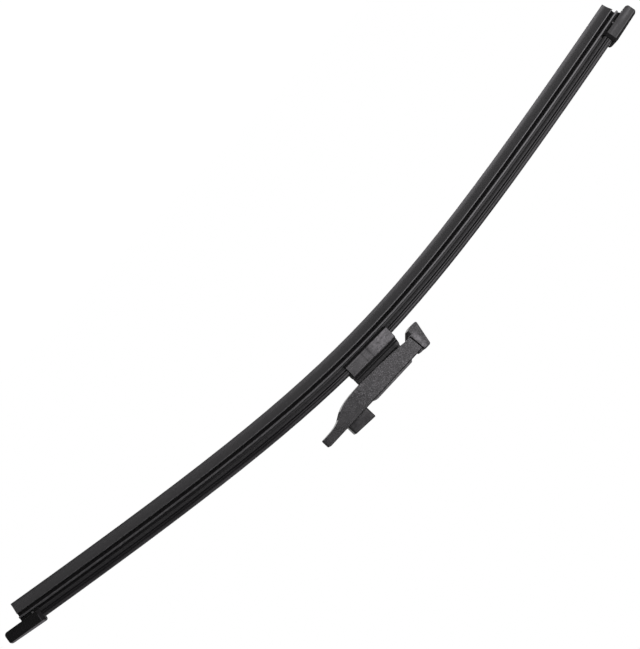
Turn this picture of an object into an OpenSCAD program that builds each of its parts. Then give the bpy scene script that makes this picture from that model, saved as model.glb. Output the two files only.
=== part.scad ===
// Flat wiper blade for a rear window, with its arm adapter.
// Millimetres. The origin is the middle of the pivot pin, Y runs along the pin, X along the blade
// towards the wiper arm, and Z away from the glass.
// Heights in the blade are measured from the rubber's lip edge under the pivot.

/* [Blade bow] */
// Radius of the bow at the connector
bow_radius = 416; // [300:0.5:600]
// Slope that the blade comes near at its ends, as rise over run
bow_slope = 0.196; // [0.1:0.01:0.25]
// Angle at which the blade lies in the adapter at rest, in degrees
rest_tilt = 1.3; // [0:0.1:2]
// Height of the pivot over the clamp bracket
pivot_rise = 6.95; // [6.75:0.05:7.15]

/* [Blade lengths] */
// Reach of the rubber from the pivot, on the arm's side
rubber_long = 166; // [120:0.5:220]
// Reach of the rubber from the pivot, on the free side
rubber_short = 167; // [120:0.5:220]
// How far the arm-side cap reaches past the rubber
cap_past_long = 8.1; // [6:0.1:9]
// How far the free-side cap reaches past the rubber
cap_past_short = 4; // [3.4:0.1:6]

/* [Wiper rubber] */
// Width of the lip's wiping edge
lip_edge_w = 0.7; // [0.5:0.05:1]
// Height of the lip up to its shoulder
lip_h = 4.1; // [3.6:0.1:4.4]
// Width across the lip's shoulder
shoulder_w = 4.8; // [4:0.1:5.6]
// Thickness of the shoulder
shoulder_t = 0.5; // [0.3:0.05:0.6]
// Thickness of the neck that lets the lip flip over
neck_w = 1.2; // [0.8:0.1:1.6]
// Height of the neck
neck_h = 1.25; // [1.1:0.05:1.5]
// Width across the wings over the neck
wing_w = 9; // [8:0.1:9.6]
// Thickness of the wings
wing_t = 0.95; // [0.7:0.05:1.05]
// Width of the body between the wings and the springs
body_w = 6.8; // [6.4:0.1:7]
// Height of that body
body_h = 1.3; // [1.1:0.05:1.4]
// Thickness of the web between the springs
web_w = 2.6; // [2.2:0.1:3]
// Width of the head over the springs
head_w = 5.2; // [4.6:0.1:5.4]
// Height of the head
head_h = 1.1; // [0.8:0.05:1.2]
// Draft of the moulded ledges, as height over their width
ledge_draft = 0.03; // [0.02:0.01:0.04]

/* [Spring strips] */
// Width of each steel strip
strip_w = 2.75; // [2.4:0.05:2.9]
// Thickness of each steel strip
strip_t = 0.8; // [0.6:0.05:0.9]
// Play round a strip in its groove
strip_fit = 0.08; // [0.05:0.01:0.1]

/* [Top cover] */
// Width of the cover
cover_w = 10; // [9.8:0.1:10.2]
// Height of the cover over the springs
cover_rise = 2.5; // [2.2:0.05:2.6]
// Thickness of the cover's roof
cover_roof = 1; // [0.8:0.05:1.1]
// Thickness of the claws that grip under the springs
cover_claw_t = 0.38; // [0.3:0.02:0.5]
// Radius of the cover's upper edges
cover_edge_r = 1.4; // [1:0.1:1.5]
// Depth of the grooves along the cover's flanks
cover_groove = 0.25; // [0.1:0.05:0.3]
// Play between the cover and the rubber or the springs
cover_fit = 0.12; // [0.1:0.01:0.15]

/* [End caps] */
// Length of the arm-side cap
cap_len_long = 16.2; // [15.8:0.1:18]
// Length of the free-side cap
cap_len_short = 15.4; // [15:0.1:17]
// Side wall of a cap beside the cover
cap_side = 0.9; // [0.8:0.05:1.1]
// Wall over the cover's top
cap_wall = 1.6; // [1.55:0.05:1.8]
// Fall of the cap's top towards its outer end
cap_fall = 0.3; // [0:0.05:0.4]
// Depth of the claws under the springs
cap_claw_t = 1; // [0.8:0.05:1.15]
// Wall of the claws beside the cover
cap_claw_side = 0.3; // [0.2:0.05:0.35]
// How far the cover reaches into a cap
cap_grip = 3; // [2:0.1:3.2]
// Play between a cap and what it holds
cap_fit = 0.12; // [0.1:0.01:0.15]
// Radius of the corners at the cap's outer end
cap_corner_r = 1.4; // [1:0.1:1.6]
// Bevel along the cap's upper edges
cap_bevel = 1.1; // [0.8:0.1:1.3]
// Bevel of the cap's room over the cover's upper edges
cap_room_bevel = 0.8; // [0.5:0.1:0.8]
// Length of the chamfer down the sides of the cap's mouth
cap_mouth_len = 1.4; // [1:0.1:2]
// How far that chamfer takes the sides in
cap_mouth_in = 0.7; // [0.4:0.05:0.75]
// Radius of the brow over the arm-side cap's mouth
cap_brow_long = 0.9; // [0.5:0.1:1.4]
// Radius of the brow over the free-side cap's mouth
cap_brow_short = 1.4; // [1:0.1:1.4]
// End wall of a cap past the springs
cap_end_wall = 2; // [1.5:0.1:3]
// Floor of a cap under the springs
cap_floor = 0.25; // [0.2:0.05:0.4]
// How much shorter the claws are than the rubber in the cap
cap_claw_short = 0.4; // [0.2:0.1:1]
// Radius of the small boss on each claw
cap_dot_r = 0.4; // [0.3:0.05:0.45]
// Distance of that boss from the claw's end
cap_dot_in = 5; // [3:0.5:7]

/* [Clamp bracket] */
// Length of the bracket
bracket_len = 22.6; // [22:0.1:22.8]
// Width of the bracket
bracket_w = 12.4; // [12:0.1:13]
// Height of the bracket's top over the springs' groove
bracket_rise = 4.3; // [4.2:0.05:4.4]
// Thickness of the bracket's claws
bracket_claw_t = 0.5; // [0.4:0.05:0.6]
// Radius of the bends into the claws
bracket_bend = 0.6; // [0.4:0.05:0.8]
// Bevel along the bracket's upper edges
bracket_bevel = 0.45; // [0.2:0.05:0.5]
// Play between the bracket and what it grips
bracket_fit = 0.12; // [0.1:0.01:0.15]

/* [Pivot block] */
// How far the block stands back from the bracket's ends
block_inset = 0; // [0:0.05:0.4]
// How far its nose side leans in up to its shoulder
block_lean_nose = 0.6; // [0.4:0.1:0.8]
// How far its tail side leans in up to its shoulder
block_lean_tail = 0; // [0:0.1:0.4]
// Width of the block below its shoulder
block_w = 9.3; // [8.8:0.1:9.3]
// Depth of the shoulder below the pivot
shoulder_drop = 3.9; // [3.8:0.05:4]
// Depth of the web's top below the pivot
web_drop = 1.2; // [1:0.1:1.6]
// Width of the web and of the eye round the pin
eye_w = 5.6; // [5:0.1:5.8]
// Radius of the eye
eye_r = 3.2; // [3:0.05:3.3]
// Depth of the foot in the bracket
foot_depth = 2.2; // [1.6:0.1:2.4]
// Length of the foot
foot_len = 16; // [14:0.5:18]
// Width of the foot
foot_w = 7.6; // [7:0.1:8.4]
// Depth of the long grooves on the block's flanks
block_groove = 0.3; // [0.2:0.05:0.4]

/* [Pivot pin] */
// Radius of the pin
pin_r = 2; // [1.7:0.05:2.1]
// Length of the pin
pin_len = 9.4; // [9:0.1:9.6]
// Running play round the pin in the adapter, on the radius
pin_play = 0.05; // [0.02:0.01:0.08]
// Chamfer on the pin's ends
pin_chamfer = 0.3; // [0.2:0.05:0.4]

/* [Adapter body] */
// Width of the adapter
adapter_w = 11.5; // [11.5:0.1:12]
// Height of the bar's top over the pivot
bar_top = 4.2; // [4.2:0.05:4.6]
// Thickness of the bar's side walls round the block
side_wall = 0.8; // [0.7:0.05:0.9]
// Thickness of the roof over the block
roof_t = 0.7; // [0.6:0.05:0.7]
// Where the bar ends at the nose, at its lower edge
bar_nose_x = 15.1; // [14.6:0.1:15.4]
// How far the bar's nose end leans outwards
bar_nose_lean = 0.45; // [0:0.05:0.8]
// Depth of the skirt below the pivot, at the nose
skirt_nose = 2.2; // [2:0.05:2.6]
// Depth of the skirt below the pivot, at the tail
skirt_tail = 4.1; // [4:0.05:4.25]
// How far the skirt bulges down between its ends
skirt_belly = 0.35; // [0:0.05:0.4]
// Where the underside starts to rise to the tail
tail_start_x = 12.9; // [12.9:0.1:13.6]
// Where that rise ends
tail_rise_x = 35; // [34:0.5:36]
// How long the rise keeps to the skirt's level, as a part of its length
tail_hold = 0.74; // [0.66:0.02:0.78]
// How early it comes to the tail's level, as a part of its length
tail_settle = 0.46; // [0.42:0.02:0.56]
// End of the tail
tail_end_x = 37.4; // [36:0.1:42]
// Height of the tail's underside over the pivot
tail_under = 0.45; // [0.1:0.05:0.8]
// How far each side of the bar draws in to the tail's end
tail_narrow = 0.5; // [0:0.1:0.7]
// Radius of the tail's corners
tail_corner_r = 0.6; // [0.3:0.1:0.9]
// Room for the block to rock in the bar's hollow, on the tail's side
rock_room_tail = 1.1; // [1:0.05:1.3]
// Room for it on the nose's side
rock_room_nose = 0.4; // [0.35:0.05:0.6]
// Radius of the bosses that hold the pin
boss_r = 3.3; // [3.1:0.05:3.4]
// Play between a boss and the eye, along the pin
boss_play = 0.3; // [0.25:0.05:0.4]
// Height of the ridge on the bar
ridge_h = 0.8; // [0.4:0.05:0.9]
// Width of the ridge
ridge_w = 8.6; // [7:0.1:10]
// Start of the ridge, on the nose's side
ridge_nose_x = 8.8; // [7:0.1:10]
// End of the ridge, on the tail's side
ridge_tail_x = 10.9; // [10:0.1:12]
// Length of the small lug at the nose end of the bar
lug_len = 1.4; // [1:0.1:1.8]
// Chamfer along the bar's long edges
bar_chamfer = 0.45; // [0.2:0.05:0.6]

/* [Nose cap] */
// Gap between the bar and the nose
nose_gap = 0.55; // [0.3:0.05:0.6]
// Length of the nose past its gap, at its foot
nose_len = 5.75; // [5.2:0.05:6.3]
// How far the nose's face leans back to its top
nose_lean = 2.3; // [2:0.1:2.8]
// Depth of the nose's foot below the pivot
nose_drop = 5.05; // [4.8:0.05:5.3]
// Height of the nose's top over the bar
nose_rise = 1.1; // [0.7:0.05:1.2]
// How far the nose's lip reaches under the bar
nose_lip = 0.9; // [0.6:0.1:1.8]
// Length and height of the slant at the nose's heel
nose_heel_len = 1.4; // [1:0.1:2]
nose_heel_h = 0.55; // [0.3:0.05:0.8]
// How far the slant starts in front of the nose's gap
nose_heel_in = 0.9; // [0.4:0.1:1.2]
// Length of the plug that holds the nose in the bar
plug_len = 2; // [1.5:0.1:2.2]
// Width of that plug
plug_w = 7.6; // [7:0.1:8]
// Height of that plug
plug_h = 3.6; // [3:0.1:4]
// Play round the plug
plug_fit = 0.1; // [0.05:0.01:0.15]

/* [Lock button] */
// Start of the button
button_x = 16.2; // [16:0.1:16.4]
// Length of the button
button_len = 10.7; // [10:0.1:11.3]
// Width of the button
button_w = 8; // [7:0.1:8.2]
// Height of the button over the bar
button_rise = 4.75; // [4:0.05:4.8]
// Fall of the button's top towards the tail
button_fall = 0.75; // [0:0.05:0.8]
// Radius of the button's upright corners
button_corner_r = 0.8; // [0.5:0.1:1.2]
// Travel of the button
button_travel = 2.2; // [2:0.05:2.3]
// Play round the button
button_play = 0.2; // [0.15:0.01:0.22]
// Thickness of the bar's top round the button
deck_t = 1.2; // [1:0.05:1.3]
// Width of the flange that keeps the button in
flange_w = 0.5; // [0.4:0.05:0.6]
// Thickness of that flange
flange_t = 0.7; // [0.5:0.05:0.75]
// Radius of the spring's pocket in the button
pocket_r = 2; // [1.9:0.05:2.2]
// Depth of that pocket
pocket_depth = 3; // [2.6:0.1:3.4]

/* [Button spring] */
// Wire thickness of the spring
wire_d = 0.45; // [0.35:0.05:0.5]
// Turns of the spring
spring_turns = 5; // [4:1:6]
// Outer radius of the spring
spring_r = 1.7; // [1.5:0.05:1.8]

/* [Hidden] */
$fn = 64;

// The bow is a hyperbola: bow_radius at its crown, bow_slope at its ends
bow_run = bow_slope * bow_radius;
bow_drop = bow_slope * bow_run;
station_step = 0.105;
eps = 0.01;

// Heights in the blade's section
neck_z = lip_h + shoulder_t;
wing_z = neck_z + neck_h;
body_z = wing_z + wing_t;
groove_z = body_z + body_h;
groove_top = groove_z + strip_t + 2 * strip_fit;
head_z = groove_top + head_h;
cover_top = groove_top + cover_rise;

// Across the blade's section
strip_in = web_w / 2 + strip_fit;
strip_out = strip_in + strip_w;
claw_in = body_w / 2 + cover_fit;
head_room = head_w / 2 + cover_fit;

// Along the blade
cap_end_long = onward(rubber_long, cap_past_long);
cap_end_short = onward(rubber_short, cap_past_short);
cap_mouth_long = onward(cap_end_long, -cap_len_long);
cap_mouth_short = onward(cap_end_short, -cap_len_short);
bracket_top = groove_top + bracket_rise;
pivot_h = bracket_top + pivot_rise;
bracket_sag = -bow_z(bracket_len / 2);
block_half = bracket_len / 2 - block_inset;

// Round the pivot, seen from the pin
bracket_z = -pivot_rise;
hollow_w = adapter_w - 2 * side_wall;
hollow_top = bar_top - roof_t;
socket_depth = pin_len / 2 + 0.1;
lug_x = bar_nose_x + bar_nose_lean;
nose_reach = bar_nose_x + nose_gap + nose_len;
flange_top = bar_top - deck_t - 0.1;
flange_z = flange_top - flange_t;
well_z = flange_z - button_travel - 0.2;
button_top = bar_top + button_rise;
spring_x = button_x + button_len / 2 - 2;
spring_len = flange_z + pocket_depth - well_z - 0.1;

function sinh(t) = (exp(t) - exp(-t)) / 2;
function asinh(v) = ln(v + sqrt(v * v + 1));
function mix(a, b, f) = a + (b - a) * f;

// The lip edge's height and slope at a station, and the point at a height over it, square to the bow
function bow_z(x) = -bow_drop * (sqrt(1 + pow(x / bow_run, 2)) - 1);
function bow_tan(x) = -bow_drop * x / (bow_run * bow_run * sqrt(1 + pow(x / bow_run, 2)));
function bow_point(x, y, h) =
    let (s = bow_tan(x), n = sqrt(1 + s * s))
    [x - h * s / n, y, bow_z(x) + h / n];
// The station a length further along the bow
function onward(x, length) = x + length / sqrt(1 + pow(bow_tan(x), 2));
// The station whose point at height h lies at x
function station_of(x, h) = x + h * bow_tan(x) / sqrt(1 + pow(bow_tan(x), 2));
// Stations are closest where the bow is sharpest
function stations(x0, x1) =
    let (t0 = asinh(x0 / bow_run), t1 = asinh(x1 / bow_run), n = ceil((t1 - t0) / station_step))
    [for (i = [0:n]) bow_run * sinh(mix(t0, t1, i / n))];

// Half sections are lists of pairs: a point on the outside and its mate on the inside
function mirrored(pairs) = [for (p = pairs) [[-p[0].x, p[0].y], [-p[1].x, p[1].y]]];
function reversed(list) = [for (i = [len(list) - 1:-1:0]) list[i]];
// A closed arch: the half section up to its crown and back down the other side
function arch(half, crown) = concat(half, [crown], reversed(mirrored(half)));
// A solid section from heights and half widths
function slab(widths) = [for (w = widths) [[w.y, w.x], [-w.y, w.x]]];

// Sweeps a section of pairs along the bow from station x0 to x1
module sweep(pairs, x0, x1) {
    xs = stations(x0, x1);
    m = len(pairs);
    last = len(xs) - 1;
    points = [for (x = xs) for (side = [0, 1]) for (p = pairs) bow_point(x, p[side].x, p[side].y)];
    function a(j, k) = j * 2 * m + k;
    function b(j, k) = j * 2 * m + m + k;
    faces = concat(
        [for (j = [0:last - 1]) for (k = [0:m - 2]) [a(j + 1, k), a(j + 1, k + 1), a(j, k + 1), a(j, k)]],
        [for (j = [0:last - 1]) for (k = [0:m - 2]) [b(j, k), b(j, k + 1), b(j + 1, k + 1), b(j + 1, k)]],
        [for (j = [0:last - 1]) [b(j + 1, 0), a(j + 1, 0), a(j, 0), b(j, 0)]],
        [for (j = [0:last - 1]) [b(j, m - 1), a(j, m - 1), a(j + 1, m - 1), b(j + 1, m - 1)]],
        [for (k = [0:m - 2]) [a(0, k), a(0, k + 1), b(0, k + 1), b(0, k)]],
        [for (k = [0:m - 2]) [b(last, k + 1), a(last, k + 1), a(last, k), b(last, k)]]
    );
    polyhedron(points, faces);
}

// Puts the blade's own frame, with the lip edge at height 0, into the part's frame
module on_blade() {
    rotate([0, rest_tilt, 0])
        translate([0, 0, -pivot_h])
            children();
}

// Puts a straight piece square to the bow at a station, lip edge at height 0
module at_station(x) {
    translate([x, 0, bow_z(x)])
        rotate([0, -atan(bow_tan(x)), 0])
            children();
}

// Extrudes an outline drawn in Y and Z along X
module along_x(x0, x1) {
    translate([x0, 0, 0])
        rotate([90, 0, 90])
            linear_extrude(x1 - x0)
                children();
}

// Extrudes an outline drawn in X and Z to both sides of the middle
module across(width) {
    rotate([90, 0, 0])
        linear_extrude(width, center = true)
            children();
}

// A box given by its low and high corners
module block(low, high) {
    translate(low)
        cube(high - low);
}

// A quarter of a circle's points, from angle a0 to a1
function arc(centre, r, a0, a1, n = 6) =
    [for (i = [0:n]) centre + r * [cos(mix(a0, a1, i / n)), sin(mix(a0, a1, i / n))]];

function rubber_section() =
    let (
        edge = lip_edge_w / 2, shoulder = shoulder_w / 2, neck = neck_w / 2,
        wing = wing_w / 2, body = body_w / 2, web = web_w / 2, head = head_w / 2,
        rise = function (from, to) abs(to - from) * ledge_draft
    )
    slab(concat(
        [[0, edge]],
        [for (f = [0.2:0.2:1]) [lip_h * f, mix(edge, shoulder, pow(f, 1.9))]],
        [
            [lip_h + shoulder_t * 0.6, shoulder],
            [neck_z - rise(neck, shoulder), shoulder - 0.15],
            [neck_z, neck],
            [wing_z, neck],
            [wing_z + rise(neck, wing), wing - 0.08],
            [wing_z + wing_t * 0.22, wing],
            [wing_z + wing_t * 0.74, wing],
            [body_z - rise(body, wing), wing - 0.3],
            [body_z, body],
            [groove_z - rise(web, body), body],
            [groove_z, web],
            [groove_top, web],
            [groove_top + rise(web, head), head],
            [head_z - 0.3, head],
            [head_z, head - 0.3]
        ]
    ));

function strip_section(side) =
    let (
        low = groove_z + strip_fit, high = low + strip_t,
        right = side > 0 ? strip_out : -strip_in,
        left = side > 0 ? strip_in : -strip_out
    )
    [[[right, low], [left, low]], [[right, high], [left, high]]];

function cover_section() =
    let (
        w = cover_w / 2, claw_z = groove_z - cover_claw_t,
        slot = strip_out + cover_fit, groove_h = groove_top - groove_z,
        upper = cover_top - cover_edge_r, roof = cover_top - cover_roof,
        low_line = groove_top - 0.06, high_line = mix(groove_top, upper, 0.8),
        ledge = groove_top + 0.08, wall_low = mix(ledge, roof, 0.4)
    )
    arch(
        concat(
            [
                [[claw_in, claw_z], [claw_in, groove_z]],
                [[w - 0.4, claw_z], [slot, groove_z]],
                [[w, claw_z + 0.4], [slot, groove_z + 0.3 * groove_h]],
                [[w, low_line - 0.2], [slot, groove_z + 0.7 * groove_h]],
                [[w - cover_groove, low_line], [slot, groove_top - 0.04]],
                [[w, low_line + 0.22], [slot, groove_top]],
                [[w, low_line + 0.42], [mix(slot, head_room, 0.5), groove_top + 0.04]],
                [[w, high_line - 0.16], [head_room, ledge]],
                [[w - cover_groove / 2, high_line], [head_room, mix(ledge, wall_low, 0.5)]]
            ],
            [for (i = [0:6])
                let (a = 15 * i)
                [
                    [w - cover_edge_r + cover_edge_r * cos(a), upper + cover_edge_r * sin(a)],
                    i <= 3
                        ? [head_room, mix(wall_low, roof, i / 3)]
                        : [head_room * (1 - (i - 3) / 6), roof]
                ]
            ]
        ),
        [[0, cover_top + 0.06], [0, roof]]
    );

module wiper_rubber() {
    color("#2b2b2d")
        on_blade()
            sweep(rubber_section(), -rubber_short, rubber_long);
}

module spring_strip(side) {
    color("#8a8d90")
        on_blade()
            sweep(
                strip_section(side),
                -onward(cap_end_short, -cap_end_wall),
                onward(cap_end_long, -cap_end_wall)
            );
}

module spring_strip_front() {
    spring_strip(-1);
}

module spring_strip_rear() {
    spring_strip(1);
}

module top_cover_long() {
    color("#353537")
        on_blade()
            sweep(
                cover_section(),
                station_of(bracket_len / 2 + bracket_fit, groove_z),
                onward(cap_mouth_long, cap_grip)
            );
}

module top_cover_short() {
    color("#353537")
        on_blade()
            sweep(
                cover_section(),
                -onward(cap_mouth_short, cap_grip),
                station_of(-bracket_len / 2 - bracket_fit, groove_z)
            );
}

// Room that a straight holder leaves for the rubber, across the blade
module rubber_room(fit, floor_z) {
    body = body_w / 2 + fit;
    head = head_w / 2 + fit;
    polygon([
        [-body, floor_z], [body, floor_z], [body, groove_top], [head, groove_top],
        [head, head_z + fit], [-head, head_z + fit], [-head, groove_top], [-body, groove_top]
    ]);
}

// Room for the springs. sag is how far the bow falls away at the holder's ends
module strip_room(fit, sag) {
    for (side = [-1, 1])
        translate([side * (strip_in + strip_out) / 2, (groove_z - sag + groove_top) / 2])
            square([strip_w + 2 * fit, groove_top - groove_z + sag], center = true);
}

// A cap in its own frame, with its mouth at x 0. past is how far it reaches past the rubber, and brow
// the radius over its mouth
module end_cap(length, past, brow) {
    room = cover_w / 2 + cap_fit;
    w = room + cap_side;
    claw_w = room + cap_claw_side;
    claw_z = groove_z - cap_claw_t;
    sill = groove_z - cap_floor;
    top = cover_top + cap_wall;
    claw_len = length - past - cap_claw_short;
    r = cap_corner_r;
    difference() {
        intersection() {
            along_x(0, length)
                polygon([
                    [-claw_w, claw_z], [claw_w, claw_z], [claw_w, sill], [w, sill],
                    [w, top - cap_bevel], [w - cap_bevel, top],
                    [-w + cap_bevel, top], [-w, top - cap_bevel], [-w, sill], [-claw_w, sill]
                ]);
            across(2 * w)
                polygon(concat(
                    [[0, claw_z], [claw_len, claw_z], [claw_len, sill]],
                    arc([length - r, sill + r], r, -90, 0),
                    arc([length - r, top - cap_fall - r], r, 0, 90),
                    arc([brow, top - brow], brow, 90, 180, 4)
                ));
            // Sides drawn in at the mouth
            translate([0, 0, claw_z - 1])
                linear_extrude(top - claw_z + 2)
                    polygon([
                        [0, cap_mouth_in - w], [cap_mouth_len, -w], [length, -w],
                        [length, w], [cap_mouth_len, w], [0, w - cap_mouth_in]
                    ]);
        }
        // Room for the cover in the mouth
        along_x(-1, cap_grip + cap_fit)
            polygon([
                [-room, groove_z - cover_claw_t - cap_fit],
                [room, groove_z - cover_claw_t - cap_fit],
                [room, cover_top - cap_room_bevel],
                [room - cap_room_bevel, cover_top + cap_fit],
                [-room + cap_room_bevel, cover_top + cap_fit],
                [-room, cover_top - cap_room_bevel]
            ]);
        along_x(-1, length - past + cap_fit)
            rubber_room(cap_fit, claw_z - 1);
        along_x(-1, length - cap_end_wall + cap_fit)
            strip_room(cap_fit, 0);
    }
    for (side = [-1, 1])
        translate([claw_len - cap_dot_in, side * (claw_w + 0.1), sill - cap_dot_r + 0.1])
            rotate([90, 0, 0])
                cylinder(h = 0.5, r = cap_dot_r, center = true);
}

module end_cap_long() {
    color("#1c1c1e")
        on_blade()
            at_station(cap_mouth_long)
                end_cap(cap_len_long, cap_past_long, cap_brow_long);
}

module end_cap_short() {
    color("#3c3c3e")
        on_blade()
            at_station(-cap_mouth_short)
                mirror([1, 0, 0])
                    end_cap(cap_len_short, cap_past_short, cap_brow_short);
}

module clamp_bracket() {
    w = bracket_w / 2;
    r = bracket_bend;
    claw_z = groove_z - bracket_sag - bracket_claw_t;
    color("#6a6a6c")
        on_blade()
            difference() {
                along_x(-bracket_len / 2, bracket_len / 2)
                    polygon(concat(
                        arc([-w + r, claw_z + r], r, 180, 270, 4),
                        arc([w - r, claw_z + r], r, 270, 360, 4),
                        [
                            [w, bracket_top - bracket_bevel], [w - bracket_bevel, bracket_top],
                            [-w + bracket_bevel, bracket_top], [-w, bracket_top - bracket_bevel]
                        ]
                    ));
                along_x(-bracket_len, bracket_len) {
                    rubber_room(bracket_fit, claw_z - 1);
                    strip_room(bracket_fit, bracket_sag);
                }
                block(
                    [-foot_len / 2 - 0.05, -foot_w / 2 - 0.05, bracket_top - foot_depth - 0.05],
                    [foot_len / 2 + 0.05, foot_w / 2 + 0.05, bracket_top + 1]
                );
            }
}

module pivot_block() {
    half = block_half;
    side = block_w / 2;
    rise = -shoulder_drop - bracket_z;
    color("#3a3a3c")
        rotate([0, rest_tilt, 0])
            difference() {
                union() {
                    // Foot in the bracket
                    block(
                        [-foot_len / 2, -foot_w / 2, bracket_z - foot_depth],
                        [foot_len / 2, foot_w / 2, bracket_z + eps]
                    );
                    // Neck with long grooves down its flanks
                    intersection() {
                        across(block_w)
                            polygon([
                                [-half, bracket_z], [half, bracket_z],
                                [half - block_lean_tail, -shoulder_drop],
                                [-half + block_lean_nose, -shoulder_drop]
                            ]);
                        along_x(-half, half)
                            polygon([
                                for (s = [1, -1])
                                    for (p = s > 0 ? block_flank(rise) : reversed(block_flank(rise)))
                                        [s * (side - p.x), p.y]
                            ]);
                    }
                    // Web between the adapter's bosses
                    across(eye_w)
                        polygon([
                            [-half + block_lean_nose, -shoulder_drop - eps],
                            [half - block_lean_tail, -shoulder_drop - eps],
                            [half - 2 * block_lean_tail, -web_drop],
                            [-half + 2 * block_lean_nose, -web_drop]
                        ]);
                    rotate([90, 0, 0])
                        cylinder(h = eye_w, r = eye_r, center = true);
                }
                rotate([90, 0, 0])
                    cylinder(h = eye_w + 2, r = pin_r + 0.01, center = true);
            }
}

// Depth and height of the points down one flank of the block, from its foot up
function block_flank(rise) = [
    for (p = [
        [block_groove, 0], [block_groove, 0.2], [0, 0.27], [0, 0.4], [block_groove, 0.44],
        [block_groove, 0.52], [0, 0.58], [0, 1]
    ])
        [p.x, bracket_z + p.y * rise]
];

module pivot_pin() {
    color("#9a9ca0")
        rotate([90, 0, 0]) {
            cylinder(h = pin_len - 2 * pin_chamfer, r = pin_r, center = true);
            for (side = [0, 1])
                mirror([0, 0, side])
                    translate([0, 0, pin_len / 2 - pin_chamfer])
                        cylinder(h = pin_chamfer, r1 = pin_r, r2 = pin_r - pin_chamfer);
        }
}

// The rise of the adapter's underside to its tail, as one smooth S
function tail_curve(n = 12) =
    let (
        p0 = [tail_start_x, -skirt_tail],
        p1 = [mix(tail_start_x, tail_rise_x, tail_hold), -skirt_tail],
        p2 = [mix(tail_start_x, tail_rise_x, tail_settle), tail_under],
        p3 = [tail_rise_x, tail_under]
    )
    [for (i = [0:n])
        let (t = i / n, u = 1 - t)
        u * u * u * p0 + 3 * u * u * t * p1 + 3 * u * t * t * p2 + t * t * t * p3
    ];

module bar_outline() {
    r = tail_corner_r;
    polygon(concat(
        [for (f = [0:0.125:0.875])
            [
                mix(-bar_nose_x, tail_start_x, f),
                mix(-skirt_nose, -skirt_tail, f) - skirt_belly * 4 * f * (1 - f)
            ]
        ],
        tail_curve(),
        arc([tail_end_x - r, tail_under + r], r, -90, 0),
        arc([tail_end_x - r, bar_top - r], r, 0, 90),
        [[-lug_x, bar_top]]
    ));
}

module bar_section() {
    w = adapter_w / 2;
    c = bar_chamfer;
    low = -skirt_tail - 1;
    polygon([[-w, low], [w, low], [w, bar_top - c], [w - c, bar_top], [-w + c, bar_top], [-w, bar_top - c]]);
}

module adapter_body() {
    w = adapter_w / 2;
    button_end = button_x + button_len;
    well_w = button_w + 2 * flange_w + 2 * button_play;
    color("#4b4b4d") {
        difference() {
            intersection() {
                across(adapter_w)
                    bar_outline();
                along_x(-lug_x - 1, tail_end_x + 1)
                    bar_section();
                // Sides drawn in to the tail's end
                translate([0, 0, -skirt_tail - 1])
                    linear_extrude(bar_top + skirt_tail + 2)
                        polygon([
                            [-lug_x - 1, -w], [tail_start_x, -w], [tail_end_x, tail_narrow - w],
                            [tail_end_x, w - tail_narrow], [tail_start_x, w], [-lug_x - 1, w]
                        ]);
            }
            // Hollow that the block rocks in
            block(
                [-block_half - rock_room_nose, -hollow_w / 2, -skirt_tail - 1],
                [block_half + rock_room_tail, hollow_w / 2, hollow_top]
            );
            // Window and well of the lock button
            block(
                [button_x - button_play, -button_w / 2 - button_play, bar_top - deck_t - eps],
                [button_end + button_play, button_w / 2 + button_play, bar_top + 1]
            );
            block(
                [button_x - flange_w - button_play, -well_w / 2, well_z],
                [button_end + flange_w + button_play, well_w / 2, bar_top - deck_t]
            );
            // Socket of the nose's plug
            block(
                [-lug_x - 1, -plug_w / 2 - plug_fit, bar_middle() - plug_h / 2 - plug_fit],
                [
                    -bar_nose_x + plug_len + plug_fit,
                    plug_w / 2 + plug_fit,
                    bar_middle() + plug_h / 2 + plug_fit
                ]
            );
        }
        // Bosses with the blind sockets that the pin turns in
        difference() {
            for (side = [-1, 1])
                pin_boss(side);
            rotate([90, 0, 0])
                cylinder(h = 2 * socket_depth, r = pin_r + pin_play, center = true);
        }
        // Ridge along the bar and lug at its nose end
        across(ridge_w)
            polygon([
                [-ridge_nose_x - ridge_h, bar_top - eps], [ridge_tail_x + 2 * ridge_h, bar_top - eps],
                [ridge_tail_x, bar_top + ridge_h], [-ridge_nose_x, bar_top + ridge_h]
            ]);
        across(ridge_w)
            polygon([
                [-lug_x, bar_top - eps], [-lug_x + lug_len + 0.6, bar_top - eps],
                [-lug_x + lug_len, bar_top + ridge_h], [-lug_x, bar_top + ridge_h]
            ]);
    }
}

// Height of the middle of the bar's nose end
function bar_middle() = (bar_top - skirt_nose) / 2;

module pin_boss(side) {
    inner = eye_w / 2 + boss_play;
    outer = hollow_w / 2 + eps;
    translate([0, side * (inner + outer) / 2, 0]) {
        rotate([90, 0, 0])
            cylinder(h = outer - inner, r = boss_r, center = true);
        across(outer - inner)
            translate([-boss_r, 0])
                square([2 * boss_r, hollow_top + eps]);
    }
}

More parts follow.
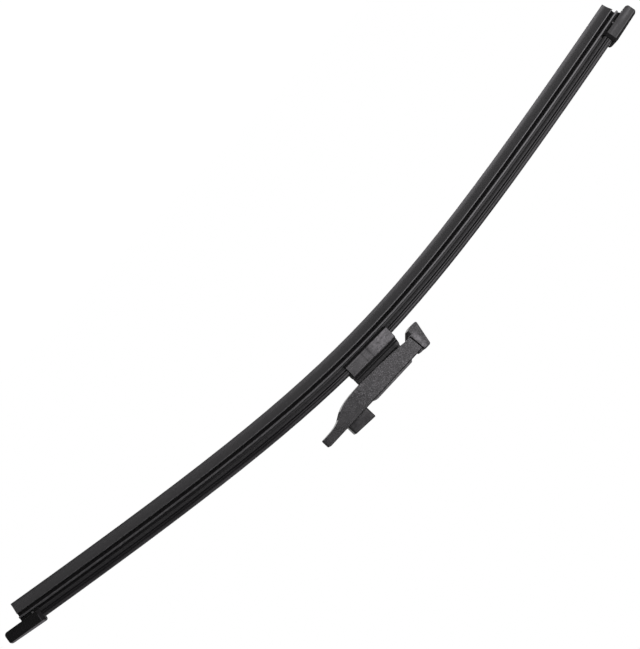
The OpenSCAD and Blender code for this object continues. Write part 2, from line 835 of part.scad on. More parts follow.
module nose_cap() {
    foot = -bar_nose_x - nose_gap;
    crown = -lug_x - nose_gap;
    middle = bar_middle();
    color("#5a5a5c") {
        intersection() {
            across(adapter_w)
                polygon(concat(
                    [[foot, -skirt_nose - 0.1], [-bar_nose_x + nose_lip, -skirt_nose - 0.1]],
                    [
                        [foot - nose_heel_in, -nose_drop + nose_heel_h],
                        [foot - nose_heel_in - nose_heel_len, -nose_drop]
                    ],
                    arc([-nose_reach + 0.8, -nose_drop + 0.8], 0.8, -90, -166, 4),
                    arc([-nose_reach + nose_lean + 0.75, bar_top + nose_rise - 0.9], 0.9, 166, 90, 4),
                    [[crown - 0.3, bar_top + nose_rise], [crown, bar_top + nose_rise - 0.3]]
                ));
            along_x(-nose_reach - 1, 0)
                polygon([
                    [-adapter_w / 2, -nose_drop - 1], [adapter_w / 2, -nose_drop - 1],
                    [adapter_w / 2, bar_top + nose_rise - bar_chamfer],
                    [adapter_w / 2 - bar_chamfer, bar_top + nose_rise],
                    [-adapter_w / 2 + bar_chamfer, bar_top + nose_rise],
                    [-adapter_w / 2, bar_top + nose_rise - bar_chamfer]
                ]);
        }
        // Plug in the bar
        block(
            [crown - 0.5, -plug_w / 2, middle - plug_h / 2],
            [-bar_nose_x + plug_len, plug_w / 2, middle + plug_h / 2]
        );
    }
}

module lock_button() {
    button_end = button_x + button_len;
    w = button_w / 2;
    r = button_corner_r;
    color("#3f3f41")
        difference() {
            union() {
                intersection() {
                    translate([0, 0, flange_z])
                        linear_extrude(button_top - flange_z)
                            polygon(concat(
                                arc([button_end - r, w - r], r, 0, 90),
                                arc([button_x + r, w - r], r, 90, 180),
                                arc([button_x + r, -w + r], r, 180, 270),
                                arc([button_end - r, -w + r], r, 270, 360)
                            ));
                    across(button_w + 2)
                        polygon([
                            [button_x - 1, flange_z], [button_end + 1, flange_z],
                            [button_end + 1, button_top - button_fall - 0.9],
                            [button_end, button_top - button_fall - 0.4],
                            [button_end - 0.4, button_top - button_fall],
                            [button_x + 0.4, button_top], [button_x, button_top - 0.4],
                            [button_x - 1, button_top - 0.9]
                        ]);
                    along_x(button_x - 1, button_end + 1)
                        polygon([
                            [-w - 1, flange_z], [w + 1, flange_z], [w + 1, button_top - 0.8],
                            [w, button_top - 0.8], [w - 0.5, button_top], [-w + 0.5, button_top],
                            [-w, button_top - 0.8], [-w - 1, button_top - 0.8]
                        ]);
                }
                block(
                    [button_x - flange_w, -w - flange_w, flange_z],
                    [button_end + flange_w, w + flange_w, flange_top]
                );
            }
            translate([spring_x, 0, flange_z - 1])
                cylinder(h = pocket_depth + 1, r = pocket_r);
        }
}

// A coil of round wire with closed ends, as one swept tube
module button_spring() {
    rings = 14;
    sides = 6;
    wire = wire_d / 2;
    coil = spring_r - wire;
    rise = spring_len - wire_d;
    last = rings * spring_turns;
    function height(i) =
        let (f = i / last, dead = 0.7 / spring_turns)
        wire + (rise - 2 * 0.02) * min(1, max(0, (f - dead) / (1 - 2 * dead))) + 0.02;
    function ring(i) =
        let (turn = 360 * i / rings)
        [for (k = [0:sides - 1])
            let (a = 360 * k / sides, reach = coil + wire * cos(a))
            [reach * cos(turn), reach * sin(turn), height(i) + wire * sin(a)]
        ];
    color("#b0b2b6")
        translate([spring_x, 0, well_z + 0.05])
            polyhedron(
                points = [for (i = [0:last]) each ring(i)],
                faces = concat(
                    [for (i = [0:last - 1]) for (k = [0:sides - 1])
                        let (n = (k + 1) % sides, c = i * sides, d = c + sides)
                        [c + k, c + n, d + n, d + k]
                    ],
                    [[for (k = [sides - 1:-1:0]) k]],
                    [[for (k = [0:sides - 1]) last * sides + k]]
                )
            );
}

wiper_rubber();
spring_strip_front();
spring_strip_rear();
top_cover_long();
top_cover_short();
end_cap_long();
end_cap_short();
clamp_bracket();
pivot_block();
pivot_pin();
adapter_body();
nose_cap();
lock_button();
button_spring();
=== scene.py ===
"""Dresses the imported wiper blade: softened edges, materials, lamps, floor and camera."""
import math

import bmesh
import bpy
from mathutils import Matrix, Vector


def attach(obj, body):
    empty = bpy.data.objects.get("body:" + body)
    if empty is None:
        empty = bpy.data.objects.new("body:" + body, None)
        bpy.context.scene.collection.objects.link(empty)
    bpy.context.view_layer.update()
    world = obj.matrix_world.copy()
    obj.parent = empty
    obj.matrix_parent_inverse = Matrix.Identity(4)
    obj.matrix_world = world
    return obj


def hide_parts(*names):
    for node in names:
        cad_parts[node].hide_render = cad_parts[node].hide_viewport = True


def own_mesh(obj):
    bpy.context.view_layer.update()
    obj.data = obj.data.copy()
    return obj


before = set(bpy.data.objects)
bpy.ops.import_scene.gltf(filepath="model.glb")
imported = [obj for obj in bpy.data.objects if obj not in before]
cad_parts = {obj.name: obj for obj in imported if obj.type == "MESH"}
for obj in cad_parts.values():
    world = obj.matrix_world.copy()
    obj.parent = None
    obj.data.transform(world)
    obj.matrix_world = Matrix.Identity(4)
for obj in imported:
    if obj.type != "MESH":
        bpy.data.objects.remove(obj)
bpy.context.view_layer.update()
MM = 0.001
scene = bpy.context.scene

# The bow as the CAD has it: crown radius, end slope, tilt in the adapter, pivot over the lip edge
BOW_RADIUS, BOW_SLOPE, REST_TILT, PIVOT_H = 416.0, 0.196, 1.3, 20.31
BOW_RUN = BOW_SLOPE * BOW_RADIUS
BOW_DROP = BOW_SLOPE * BOW_RUN

# Bands on the blade's flanks, as heights over the lip edge in mm
SHOULDER_BAND, NECK_BAND, WING_BAND, WAIST_BAND = (3.9, 4.65), (4.66, 5.8), (5.8, 6.85), (6.7, 8.15)
LOW_GROOVE_BAND, HIGH_GROOVE_BAND = (8.98, 9.4), (9.96, 10.16)
CLAW_TOP = 8.6

# Vertices closer than this, in m, are welded, and faces that meet at less than this angle are shaded smooth
WELD_GAP, SMOOTH_ANGLE = 2e-6, math.radians(28)

# Edges are rounded in so many steps, where two faces meet at more than this angle
EDGE_STEPS, EDGE_ANGLE = 3, math.radians(30)

# The photo's blacks have a little less green than red and blue
LAMP_COLOUR = (0.995, 0.965, 1.0)
RED_SHARE, BLUE_SHARE = 1.04, 1.05


# Camera
def make_camera():
    """The photograph's camera: its fitted pose, turned 45 degrees as the photo is."""
    azimuth, elevation, roll = (math.radians(v) for v in (6.7024, 0.9479, -1.8588))
    distance, focal_px, frame_px, sensor = 806.79, 2056.98, 640.0, 36.0
    target = Vector((4.663, 0.0, -31.36))
    back = Vector((
        math.sin(azimuth) * math.cos(elevation),
        -math.cos(azimuth) * math.cos(elevation),
        math.sin(elevation),
    ))
    right = Vector((math.cos(azimuth), math.sin(azimuth), 0.0))
    up = right.cross(-back)
    along = right * math.cos(roll) + up * math.sin(roll)
    away = -right * math.sin(roll) + up * math.cos(roll)
    half = math.sqrt(0.5)
    cam_right = (away - along) * half
    cam_up = (-along - away) * half
    place = (target + back * distance) * MM
    data = bpy.data.cameras.new("camera")
    data.sensor_fit = "HORIZONTAL"
    data.sensor_width = sensor
    data.lens = sensor * focal_px / frame_px
    data.clip_start = 0.01
    data.clip_end = 20
    camera = bpy.data.objects.new("camera", data)
    scene.collection.objects.link(camera)
    camera.matrix_world = Matrix((
        (cam_right.x, cam_up.x, back.x, place.x),
        (cam_right.y, cam_up.y, back.y, place.y),
        (cam_right.z, cam_up.z, back.z, place.z),
        (0, 0, 0, 1),
    ))
    scene.camera = camera


# Places on the blade
def bow_z(x):
    return -BOW_DROP * (math.sqrt(1 + (x / BOW_RUN) ** 2) - 1)


def bow_tan(x):
    return -BOW_DROP * x / (BOW_RUN ** 2 * math.sqrt(1 + (x / BOW_RUN) ** 2))


def on_bow(point):
    """Station along the bow, place across it and height over the lip edge, in mm."""
    x, y, z = (v / MM for v in point)
    tilt = math.radians(REST_TILT)
    across = x * math.cos(tilt) - z * math.sin(tilt)
    height = x * math.sin(tilt) + z * math.cos(tilt) + PIVOT_H
    station, h = across, height
    for _ in range(6):
        slope = bow_tan(station)
        norm = math.sqrt(1 + slope * slope)
        h = (height - bow_z(station)) * norm
        station = across + h * slope / norm
    return station, y, h


def mark_places(mesh, bowed):
    """Stores where each vertex lies, in mm, for the materials to read."""
    places = mesh.attributes.new("place", "FLOAT_VECTOR", "POINT")
    for i, v in enumerate(mesh.vertices):
        places.data[i].vector = on_bow(v.co) if bowed else tuple(c / MM for c in v.co)


# Pieces
def within(value, limits):
    return limits[0] < value < limits[1]


def faces_along(face):
    """Cut ends, and slanted faces turned towards the arm."""
    return face.normal.x > 0.45 or face.normal.x < -0.9


def faces_either_way(face):
    return abs(face.normal.x) > 0.4


def faces_up(face):
    return face.normal.z > 0.9


def in_waist(face):
    """The rubber's flanks between its wings and the cover's claws."""
    _, across, height = on_bow(face.center)
    return 1.0 < abs(across) < 4.3 and within(height, WAIST_BAND)


def on_ledge(face):
    """The outer edges of the rubber's shoulder and wings."""
    _, across, height = on_bow(face.center)
    on_wing = abs(across) > 4.2 and within(height, WING_BAND)
    on_shoulder = abs(across) > 2.15 and within(height, SHOULDER_BAND)
    return on_wing or on_shoulder


def in_groove(face):
    """The dull faces of the two long grooves on the cover's flanks."""
    _, across, height = on_bow(face.center)
    return abs(across) > 4.6 and (within(height, LOW_GROOVE_BAND) or within(height, HIGH_GROOVE_BAND))


def turned_under(face):
    return face.normal.z < -0.15 and abs(face.center.y) > 5 * MM


def on_claw(face):
    """The caps' claws, set back under their flanks."""
    _, across, height = on_bow(face.center)
    return 5.2 < abs(across) < 5.5 and height < CLAW_TOP and abs(face.normal.y) > 0.5


def on_dot(face):
    """The small boss on each claw of the caps."""
    _, across, height = on_bow(face.center)
    return 5.5 < abs(across) < 5.9 and height < CLAW_TOP and abs(face.normal.y) > 0.3


def dressed(name, body, material, zones, slot, edge, bowed, swept):
    """A copy of a CAD node with welded faces and softened edges, which stands for that node.

    Each zone is a material and a test for the faces that take it."""
    mesh = bpy.data.meshes.new(name + "_skin")
    bm = bmesh.new()
    bm.from_mesh(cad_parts[name].data)
    bmesh.ops.remove_doubles(bm, verts=bm.verts, dist=WELD_GAP)
    if swept:
        bmesh.ops.join_triangles(
            bm, faces=bm.faces, angle_face_threshold=math.radians(4),
            angle_shape_threshold=math.radians(180),
        )
    else:
        bmesh.ops.dissolve_limit(
            bm, angle_limit=math.radians(0.6), verts=bm.verts, edges=bm.edges,
        )
    bmesh.ops.recalc_face_normals(bm, faces=bm.faces)
    bm.to_mesh(mesh)
    bm.free()
    mark_places(mesh, bowed)
    mesh.shade_smooth()
    mesh.set_sharp_from_angle(angle=SMOOTH_ANGLE)
    piece = bpy.data.objects.new(name + "_skin", mesh)
    scene.collection.objects.link(piece)
    mesh.materials.append(material)
    for index, (zone_material, belongs) in enumerate(zones, 1):
        mesh.materials.append(zone_material)
        for face in mesh.polygons:
            if belongs(face):
                face.material_index = index
    if edge:
        bevel = piece.modifiers.new("soft_edges", "BEVEL")
        bevel.width = edge * MM
        bevel.segments = EDGE_STEPS
        bevel.limit_method = "ANGLE"
        bevel.angle_limit = EDGE_ANGLE
        bevel.harden_normals = True
        bevel.miter_outer = "MITER_ARC"
    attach(piece, body)
    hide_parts(name)
    return piece


# Materials
def add_node(tree, kind, inputs=None, **settings):
    """A node with its settings made, and each input given a value or linked to a socket."""
    made = tree.nodes.new(kind)
    for key, value in settings.items():
        setattr(made, key, value)
    for key, value in (inputs or {}).items():
        feed(tree, made.inputs[key], value)
    return made


def feed(tree, socket, value):
    if isinstance(value, bpy.types.NodeSocket):
        tree.links.new(value, socket)
    else:
        socket.default_value = value


def add_math(tree, operation, a, b):
    return add_node(tree, "ShaderNodeMath", {0: a, 1: b}, operation=operation).outputs[0]


class Shader:
    """A node material under construction."""

    def __init__(self, name):
        self.material = bpy.data.materials.new(name)
        self.material.use_nodes = True
        self.tree = self.material.node_tree
        self.surface = self.tree.nodes["Principled BSDF"]
        self.place = self.node("ShaderNodeAttribute", attribute_name="place").outputs["Vector"]

    def node(self, kind, inputs=None, **settings):
        return add_node(self.tree, kind, inputs, **settings)

    def noise(self, scale, detail=3.0, rough=0.55):
        """Noise with so many cells per mm along, across and up."""
        spread = self.node("ShaderNodeVectorMath", {0: self.place, 1: scale}, operation="MULTIPLY")
        return self.node("ShaderNodeTexNoise", {
            "Vector": spread.outputs[0], "Scale": 1.0, "Detail": detail, "Roughness": rough,
        }).outputs["Fac"]

    def span(self, value, low, high, to_low=0.0, to_high=1.0):
        return self.node(
            "ShaderNodeMapRange",
            {"Value": value, "From Min": low, "From Max": high, "To Min": to_low, "To Max": to_high},
            interpolation_type="SMOOTHSTEP",
        ).outputs["Result"]

    def band(self, value, low, high, soft):
        """1 between low and high, fading out over a soft edge on each side."""
        rise = self.span(value, low - soft, low + soft)
        fall = self.span(value, high - soft, high + soft, 1.0, 0.0)
        return self.math("MULTIPLY", rise, fall)

    def math(self, operation, a, b):
        return add_math(self.tree, operation, a, b)

    def mix(self, factor, a, b):
        """Colour a turning into colour b: a colour mix has its factor and colours at 0, 6 and 7."""
        return self.node("ShaderNodeMix", {0: factor, 6: a, 7: b}, data_type="RGBA").outputs[2]

    def part(self, index):
        """Place along the blade, across it or over the lip edge, for index 0, 1 or 2."""
        return self.node("ShaderNodeSeparateXYZ", {0: self.place}).outputs[index]

    def finish(self, colour, rough, bump, depth, specular, metallic=0.0):
        """Feeds the surface. The depth of its relief is in mm."""
        relief = self.node("ShaderNodeBump", {"Height": bump, "Strength": 1.0, "Distance": depth * MM})
        for name, value in (
            ("Base Color", colour), ("Roughness", rough), ("Normal", relief.outputs["Normal"]),
            ("Specular IOR Level", specular), ("Metallic", metallic),
        ):
            feed(self.tree, self.surface.inputs[name], value)
        return self.material


def grey(level):
    return (level * RED_SHARE, level, level * BLUE_SHARE, 1.0)


def rubber_material():
    """Extruded rubber: a smooth wiped lip, drawn lines, polished ledges, and a dull neck groove darkened with
    painted shade.
    """
    s = Shader("rubber")
    lines = s.noise((0.006, 1.5, 4.0), 4.0)
    cloud = s.noise((0.04, 0.2, 0.5), 3.0)
    height = s.part(2)
    plain = s.mix(s.span(lines, 0.35, 0.7), grey(0.005), grey(0.009))
    bloom = s.math("MULTIPLY", s.span(height, 2.4, 0.2), s.span(cloud, 0.25, 0.6, 0.3, 1.0))
    body = s.mix(bloom, plain, grey(0.008))
    # Painted shade: the neck groove is coloured darker to stand for the shade in it
    neck = s.band(height, *NECK_BAND, 0.07)
    colour = s.mix(neck, body, grey(0.003))
    lip = s.math("MULTIPLY", s.span(height, 3.4, 1.4), s.span(cloud, 0.2, 0.7, 0.85, 1.0))
    polished = s.math("SUBTRACT", 0.54, s.math("MULTIPLY", lip, 0.29))
    rough = s.math("MAXIMUM", polished, s.math("MULTIPLY", neck, 0.95))
    grain = s.noise((6.0, 6.0, 6.0), 2.0)
    relief = s.math("ADD", s.math("MULTIPLY", lines, 0.7), s.math("MULTIPLY", grain, 0.3))
    return s.finish(colour, rough, relief, 0.008, 0.42)


def ledge_material():
    """The rubber's polished outer edges, with small nicks, coloured lighter than the rubber as a painted
    highlight.
    """
    s = Shader("rubber_ledge")
    nicks = s.noise((0.5, 0.5, 2.5), 3.0, 0.6)
    # Painted highlight: these colours are lighter than the rubber's own
    colour = s.mix(s.span(nicks, 0.4, 0.7), grey(0.018), grey(0.028))
    return s.finish(colour, s.span(nicks, 0.3, 0.7, 0.27, 0.33), nicks, 0.004, 0.75)


def waist_material():
    """The rubber's smooth flanks between wings and cover, darkened with painted shade."""
    s = Shader("rubber_waist")
    lines = s.noise((0.006, 1.5, 4.0), 4.0)
    # Painted shade: darker than the rubber elsewhere, for the shade between the wings and the cover's claws
    colour = s.mix(s.span(lines, 0.35, 0.7), grey(0.003), grey(0.006))
    return s.finish(colour, 0.24, lines, 0.008, 0.23)


def cover_material():
    """Extruded satin plastic: draw lines, dull grooves darkened with painted shade, and painted highlights on
    the claws, ribs, middle crests and top edges, the top edges also with rubbing wear.
    """
    s = Shader("cover_plastic")
    lines = s.noise((0.005, 2.0, 5.0), 4.0)
    cloud = s.noise((0.03, 0.2, 0.4), 3.0)
    height = s.part(2)
    body = s.mix(s.span(lines, 0.3, 0.7), grey(0.0025), grey(0.005))
    # Painted highlight: a lighter band along the claw's edge
    claw = s.mix(s.band(height, 8.64, 8.97, 0.1), body, grey(0.018))
    # Painted highlights: the rib, and two crests near the middle, are coloured lighter
    rib = s.mix(s.band(height, 9.5, 9.85, 0.08), claw, grey(0.01))
    # Painted highlight with rubbing wear: the top edges are lighter, mottled by the cloud noise
    rubbed_and_highlight = s.math("MULTIPLY", s.span(height, 10.1, 10.9), s.span(cloud, 0.25, 0.65, 0.4, 1.0))
    crests = s.math("MAXIMUM", s.band(height, 9.5, 9.8, 0.08), s.band(height, 10.25, 10.75, 0.1))
    handled_and_highlight = s.math("MULTIPLY", s.band(s.part(0), -40.0, 40.0, 14.0), crests)
    edges = s.mix(rubbed_and_highlight, s.mix(handled_and_highlight, rib, grey(0.022)), grey(0.034))
    # Painted shade: the high groove and the foot under the claws are coloured darker
    high = s.band(height, 9.86, 10.14, 0.06)
    foot = s.math("MULTIPLY", s.band(height, 8.0, 8.2, 0.1), 0.7)
    grooves = s.math("MAXIMUM", high, foot)
    colour = s.mix(grooves, edges, grey(0.003))
    dull = s.math("MAXIMUM", grooves, s.math("MULTIPLY", s.band(height, 8.2, 8.58, 0.1), 0.5))
    flank = s.math("ADD", s.span(cloud, 0.3, 0.7, 0.18, 0.24), s.math("MULTIPLY", dull, 0.6))
    rough = s.math("MAXIMUM", flank, s.span(height, 11.2, 11.5, 0.0, 0.6))
    return s.finish(colour, rough, lines, 0.006, 0.27)


def moulded_material(name, low, high, rough, grain_mm, depth, specular):
    """Moulded plastic with an etched grain and satin patches where it has been handled."""
    s = Shader(name)
    per_mm = 1.0 / grain_mm
    grain = s.noise((per_mm, per_mm, per_mm), 2.0, 0.6)
    cloud = s.noise((0.22, 0.3, 0.4), 3.0)
    tone = s.mix(s.span(grain, 0.42, 0.66), grey(low), grey(high))
    handled_and_highlight = s.span(cloud, 0.4, 0.62)
    colour = s.mix(s.math("MULTIPLY", handled_and_highlight, 0.35), tone, grey(high * 1.4))
    return s.finish(colour, s.span(cloud, 0.4, 0.62, rough + 0.14, rough - 0.06), grain, depth, specular)


def cap_material():
    """Black moulded cap, polished in long patches by handling, with painted highlights: on those patches, in
    a line just under the top edge, on the top rim at the arm's end and in a line near the long cap's mouth.
    """
    s = Shader("cap_plastic")
    grain = s.noise((3.0, 3.0, 3.0), 2.0)
    cloud = s.noise((0.1, 0.3, 0.5), 3.0, 0.6)
    along = s.part(0)
    height = s.part(2)
    # Painted highlight: the middle of the flank, in patches, and a line under the top edge are coloured
    # lighter
    middle = s.math("MULTIPLY", s.band(height, 9.4, 11.2, 0.7), s.span(cloud, 0.4, 0.58, 0.1, 1.0))
    handled_and_highlight = s.math("MAXIMUM", middle, s.math("MULTIPLY", s.band(height, 11.8, 12.15, 0.12), 0.8))
    tone = s.mix(s.span(grain, 0.4, 0.65), grey(0.0012), grey(0.0025))
    arm_end = s.span(along, 100.0, 110.0)
    # Painted highlight: a light top rim on the cap at the arm's end
    rim = s.math("MULTIPLY", s.span(height, 12.15, 12.4), arm_end)
    # Painted highlight: a light line near the long cap's mouth
    seam = s.math("MULTIPLY", s.band(along, 159.1, 159.6, 0.2), s.span(height, 9.0, 9.6))
    edges = s.math("MAXIMUM", rim, s.math("MULTIPLY", seam, 0.4))
    worn_and_highlight = s.mix(edges, tone, grey(0.1))
    colour = s.mix(s.math("MULTIPLY", handled_and_highlight, 0.5), worn_and_highlight, grey(0.006))
    matt = s.math("SUBTRACT", 0.56, s.math("MULTIPLY", arm_end, 0.34))
    rough = s.math("SUBTRACT", matt, s.math("MULTIPLY", handled_and_highlight, s.math("SUBTRACT", matt, 0.2)))
    return s.finish(colour, rough, grain, 0.005, 0.5)


def block_material():
    """Black moulded block: long dull grooves along its flanks, darkened with painted shade, and a polished
    corner at its nose side, lightened with a painted highlight.
    """
    s = Shader("block_plastic")
    grain = s.noise((3.5, 3.5, 3.5), 2.0)
    height = s.part(2)
    # Painted highlight: the corner at the nose side is coloured lighter
    corner = s.span(s.part(0), -8.4, -10.2)
    tone = s.mix(s.span(grain, 0.35, 0.65), grey(0.006), s.mix(corner, grey(0.012), grey(0.04)))
    # Painted shade: the two grooves along the flanks are coloured darker
    grooves = s.math("MAXIMUM", s.band(height, 13.45, 14.0, 0.12), s.band(height, 14.65, 15.1, 0.12))
    colour = s.mix(grooves, tone, grey(0.002))
    rough = s.math("SUBTRACT", 0.62, s.math("MULTIPLY", corner, 0.4))
    dulled = s.math("MAXIMUM", rough, s.math("MULTIPLY", grooves, 0.9))
    return s.finish(colour, dulled, grain, 0.01, 0.3)


def adapter_material():
    """Etched grey plastic with sparkling crests, a painted highlight by the nose, and painted shade darkening
    it a little towards the tail, where it slides into the arm, and at its lower corner by the nose.
    """
    s = Shader("adapter_plastic")
    grain = s.noise((2.9, 2.9, 2.9), 2.0, 0.55)
    mottle = s.noise((0.75, 0.75, 0.75), 4.0, 0.65)
    cloud = s.noise((0.2, 0.2, 0.2), 3.0)
    along = s.part(0)
    tail = s.span(along, 6.0, 38.0)
    crest = s.math("MULTIPLY", s.span(grain, 0.5, 0.62), s.span(mottle, 0.35, 0.65, 0.5, 1.0))
    tone = s.mix(crest, grey(0.003), grey(0.085))
    mottled = s.mix(s.span(mottle, 0.48, 0.68, 0.0, 0.3), tone, grey(0.04))
    # Painted highlight: a lighter, mottled strip by the nose
    end_highlight = s.math("MULTIPLY", s.band(along, -17.9, -16.1, 0.7), s.band(s.part(2), -2.6, 4.0, 1.2))
    lit = s.mix(s.math("MULTIPLY", end_highlight, s.span(mottle, 0.3, 0.65, 0.2, 1.0)), mottled, grey(0.11))
    # Painted shade: the bar is coloured darker towards its tail
    tail_shaded = s.mix(s.math("MULTIPLY", tail, 0.85), lit, grey(0.01))
    # Painted shade: the bar's lower corner by the nose is coloured darker
    corner = s.math("MULTIPLY", s.band(along, -16.6, -13.4, 0.2), s.span(s.part(2), -2.5, -2.8))
    colour = s.mix(corner, tail_shaded, grey(0.005))
    front = s.span(along, -17.5, -20.5)
    worn_and_highlight = s.math("ADD", s.span(cloud, 0.3, 0.7, 0.29, 0.38), s.math("MULTIPLY", front, 0.12))
    smooth = s.math("SUBTRACT", worn_and_highlight, s.math("MULTIPLY", tail, 0.05))
    return s.finish(colour, s.math("MAXIMUM", smooth, s.math("MULTIPLY", corner, 0.95)), grain, 0.016, 0.5)


def paint_material():
    """Satin paint on the clamp, with fine scratches, scuffs at one end, painted highlights along its bend and
    top edge, and painted shade under its bend.
    """
    s = Shader("bracket_paint")
    along = s.part(0)
    rubbed_and_highlight = s.noise((0.16, 0.16, 0.3), 4.0, 0.65)
    scratch = s.noise((0.3, 3.0, 6.0), 3.0, 0.5)
    scuff = s.noise((0.9, 0.9, 1.4), 4.0, 0.6)
    base = s.mix(s.span(rubbed_and_highlight, 0.38, 0.66), grey(0.01), grey(0.034))
    worn_and_highlight = s.math("MULTIPLY", s.span(scuff, 0.3, 0.72), s.span(along, 0.0, -4.0))
    dulled = s.mix(s.math("MULTIPLY", worn_and_highlight, 0.75), base, grey(0.13))
    scored = s.mix(s.span(scratch, 0.6, 0.74, 0.0, 0.5), dulled, grey(0.09))
    upright = s.math("MAXIMUM", s.band(along, -0.2, 0.5, 0.25), s.band(along, 2.7, 3.3, 0.25))
    lined = s.mix(s.math("MULTIPLY", upright, 0.6), scored, grey(0.012))
    height = s.part(2)
    # Painted highlights: light lines along the clamp's lower bend and top edge
    rims = s.math("MAXIMUM", s.band(height, 8.6, 8.85, 0.1), s.band(height, 12.75, 13.0, 0.1))
    edged = s.mix(s.math("MULTIPLY", rims, 0.6), lined, grey(0.055))
    # Painted shade: the clamp is coloured near black under its bend
    under = s.span(height, 8.55, 8.3)
    colour = s.mix(under, edged, grey(0.003))
    blotch = s.noise((0.45, 0.45, 0.6), 3.0, 0.6)
    satin = s.math("ADD", s.span(blotch, 0.35, 0.62, 0.52, 0.26), s.math("MULTIPLY", worn_and_highlight, 0.06))
    marked = s.math("ADD", satin, s.math("MULTIPLY", upright, 0.25))
    rough = s.math("MAXIMUM", marked, s.math("MULTIPLY", under, 0.95))
    return s.finish(colour, rough, scratch, 0.008, 0.5)


def cut_material(name, level):
    """A cut or sheared end: matt, with the marks of the blade down it."""
    s = Shader(name)
    marks = s.noise((0.5, 0.6, 7.0), 3.0)
    colour = s.mix(s.span(marks, 0.3, 0.7), grey(level * 0.6), grey(level))
    return s.finish(colour, 0.9, marks, 0.03, 0.1)


def steel_material(name, level, rough):
    """Drawn steel with fine lines."""
    s = Shader(name)
    lines = s.noise((0.1, 6.0, 6.0), 3.0)
    colour = s.mix(s.span(lines, 0.3, 0.7), grey(level * 0.8), grey(level))
    return s.finish(colour, s.span(lines, 0.3, 0.7, rough - 0.06, rough + 0.06), lines, 0.01, 0.5, 1.0)


# Lamps, floor and world
def area_lamp(name, place, aim, width, height, power):
    data = bpy.data.lights.new(name, "AREA")
    data.shape = "RECTANGLE"
    data.size = width
    data.size_y = height
    data.energy = power
    data.color = LAMP_COLOUR
    lamp = bpy.data.objects.new(name, data)
    scene.collection.objects.link(lamp)
    lamp.location = place
    lamp.rotation_mode = "QUATERNION"
    lamp.rotation_quaternion = (Vector(aim) - Vector(place)).to_track_quat("-Z", "Y")


def fade_behind(tree, start, end, low, high):
    """A value that rises with Y, which is a ray's direction in the world and a share of the floor's depth."""
    where = add_node(tree, "ShaderNodeTexCoord")
    split = add_node(tree, "ShaderNodeSeparateXYZ", {0: where.outputs["Generated"]})
    return add_node(
        tree, "ShaderNodeMapRange",
        {"Value": split.outputs["Y"], "From Min": start, "From Max": end, "To Min": low, "To Max": high},
        interpolation_type="SMOOTHSTEP",
    ).outputs["Result"]


def mix_shaders(tree, factor, a, b):
    return add_node(tree, "ShaderNodeMixShader", {0: factor, 1: a, 2: b}).outputs[0]


def make_world():
    """White to the camera. In gloss it is white behind the blade and dark before it."""
    world = bpy.data.worlds.new("studio")
    scene.world = world
    world.use_nodes = True
    tree = world.node_tree
    tree.nodes.clear()
    rays = add_node(tree, "ShaderNodeLightPath").outputs

    def shade(strength):
        backdrop = add_node(tree, "ShaderNodeBackground", {"Color": (1, 1, 1, 1), "Strength": strength})
        return backdrop.outputs[0]

    in_gloss = fade_behind(tree, 0.0, 0.95, 0.04, 1.0)
    lighting = mix_shaders(tree, rays["Is Glossy Ray"], shade(0.45), shade(in_gloss))
    clear = add_math(tree, "MAXIMUM", rays["Is Camera Ray"], rays["Is Transmission Ray"])
    shown = mix_shaders(tree, clear, lighting, shade(1.0))
    add_node(tree, "ShaderNodeOutputWorld", {"Surface": shown})


def make_floor():
    """A plain pale floor, which shows white and keeps a soft shadow. Gloss sees it white behind the blade."""
    mesh = bpy.data.meshes.new("floor")
    reach, level = 5.0, -0.66
    mesh.from_pydata(
        [(-reach, -reach, level), (reach, -reach, level), (reach, reach, level), (-reach, reach, level)],
        [], [(0, 1, 2, 3)],
    )
    floor = bpy.data.objects.new("floor", mesh)
    scene.collection.objects.link(floor)
    material = bpy.data.materials.new("floor")
    material.use_nodes = True
    tree = material.node_tree
    tree.nodes.clear()
    rays = add_node(tree, "ShaderNodeLightPath").outputs
    behind = fade_behind(tree, 0.5, 0.7, 0.0, 1.0)
    glossy = add_math(tree, "MULTIPLY", rays["Is Glossy Ray"], behind)
    clear = add_math(tree, "MAXIMUM", rays["Is Camera Ray"], rays["Is Transmission Ray"])
    share = add_math(tree, "MULTIPLY", add_math(tree, "MAXIMUM", clear, glossy), 0.85)
    matt = add_node(tree, "ShaderNodeBsdfDiffuse", {"Color": (0.85, 0.85, 0.85, 1)}).outputs[0]
    glow = add_node(tree, "ShaderNodeEmission", {"Strength": 1.12}).outputs[0]
    add_node(tree, "ShaderNodeOutputMaterial", {"Surface": mix_shaders(tree, share, matt, glow)})
    mesh.materials.append(material)


# The scene
make_camera()
make_world()
make_floor()
# Two soft boxes in front, on the free end's side: its gloss is lit, and it falls away towards the arm's end
area_lamp("front_box", (-0.63, -1.25, -0.08), (-0.05, 0.0, -0.03), 1.0, 1.08, 11.0)
area_lamp("upper_box", (-0.5, -0.95, 0.82), (-0.05, 0.0, -0.02), 0.9, 0.85, 7.4)
# A low one for the lip, which leans towards the floor, and one behind for the far side
area_lamp("low_box", (-0.5, -0.82, -0.54), (-0.1, 0.0, -0.03), 0.75, 0.45, 1.7)
area_lamp("back_box", (-0.7, 1.25, 0.1), (-0.02, 0.0, -0.03), 1.1, 1.1, 12.0)

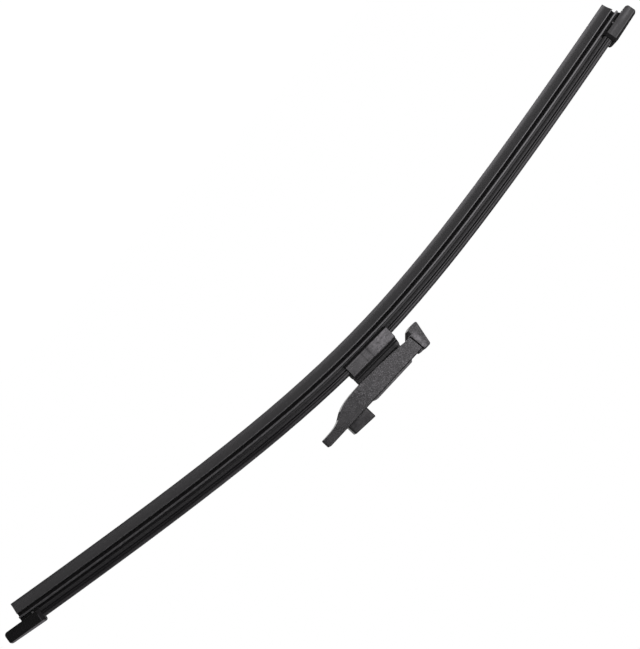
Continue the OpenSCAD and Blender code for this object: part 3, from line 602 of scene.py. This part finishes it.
RUBBER = rubber_material()
COVER = cover_material()
WAIST_SHADE = waist_material()
LEDGE_HIGHLIGHT = ledge_material()
CAP = cap_material()
BLOCK = block_material()
ADAPTER = adapter_material()
BUTTON = moulded_material("button_plastic", 0.003, 0.016, 0.42, 0.5, 0.016, 0.35)
PAINT = paint_material()
SPRING_STEEL = steel_material("spring_steel", 0.3, 0.4)
PIN_STEEL = steel_material("pin_steel", 0.55, 0.3)
CUT_RUBBER = cut_material("rubber_cut", 0.02)
CUT_PLASTIC = cut_material("plastic_cut", 0.01)
CUT_ADAPTER = cut_material("adapter_gate", 0.018)
# Painted light: the block's ends are coloured much lighter than the block, for light on the end away from the
# lamps
CUT_BLOCK_LIT = cut_material("block_end", 0.06)
# Painted shade: near black matt faces in the cover's grooves, on the clamp's underside along its bend and on
# the caps' claws under their flanks
GROOVE_SHADE = cut_material("groove", 0.003)
# Painted highlight: the claws' small bosses are coloured far lighter than the cap
DOT_HIGHLIGHT = moulded_material("cap_dot", 0.02, 0.035, 0.4, 0.3, 0.004, 0.5)
CAP_TOP = cut_material("cap_top", 0.02)

RUBBER_ZONES = ((CUT_RUBBER, faces_along), (WAIST_SHADE, in_waist), (LEDGE_HIGHLIGHT, on_ledge))
COVER_ZONES = ((CUT_PLASTIC, faces_along), (GROOVE_SHADE, in_groove))
PAINT_ZONES = ((CUT_PLASTIC, faces_along), (GROOVE_SHADE, turned_under))
CAP_ZONES = ((CUT_PLASTIC, faces_either_way), (CAP_TOP, faces_up), (GROOVE_SHADE, on_claw), (DOT_HIGHLIGHT, on_dot))
BAR_ZONES = ((CUT_ADAPTER, faces_along),)
BLOCK_ZONES = ((CUT_BLOCK_LIT, faces_along),)

# name, body, material, zones, slot, edge softening in mm, on the bow, swept along it
PIECES = [
    ("wiper_rubber", "blade", RUBBER, RUBBER_ZONES, "rubber", 0.06, True, True),
    ("spring_strip_front", "blade", SPRING_STEEL, (), "spring_steel", 0.08, True, True),
    ("spring_strip_rear", "blade", SPRING_STEEL, (), "spring_steel", 0.08, True, True),
    ("top_cover_long", "blade", COVER, COVER_ZONES, "cover_plastic", 0.06, True, True),
    ("top_cover_short", "blade", COVER, COVER_ZONES, "cover_plastic", 0.06, True, True),
    ("end_cap_long", "blade", CAP, CAP_ZONES, "cap_plastic", 0.14, True, False),
    ("end_cap_short", "blade", CAP, CAP_ZONES, "cap_plastic", 0.14, True, False),
    ("clamp_bracket", "blade", PAINT, PAINT_ZONES, "bracket_paint", 0.12, True, False),
    ("pivot_block", "blade", BLOCK, BLOCK_ZONES, "block_plastic", 0.12, True, False),
    ("pivot_pin", "blade", PIN_STEEL, (), "pin_steel", 0.06, False, False),
    ("adapter_body", "adapter", ADAPTER, BAR_ZONES, "adapter_plastic", 0.18, False, False),
    ("nose_cap", "adapter", ADAPTER, BAR_ZONES, "adapter_plastic", 0.2, False, False),
    ("lock_button", "button", BUTTON, (), "button_plastic", 0.18, False, False),
    ("button_spring", "adapter", PIN_STEEL, (), "pin_steel", 0.0, False, False),
]
skins = {piece[0]: dressed(*piece) for piece in PIECES}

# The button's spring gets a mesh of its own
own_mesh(skins["button_spring"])

scene.view_settings.view_transform = "Standard"
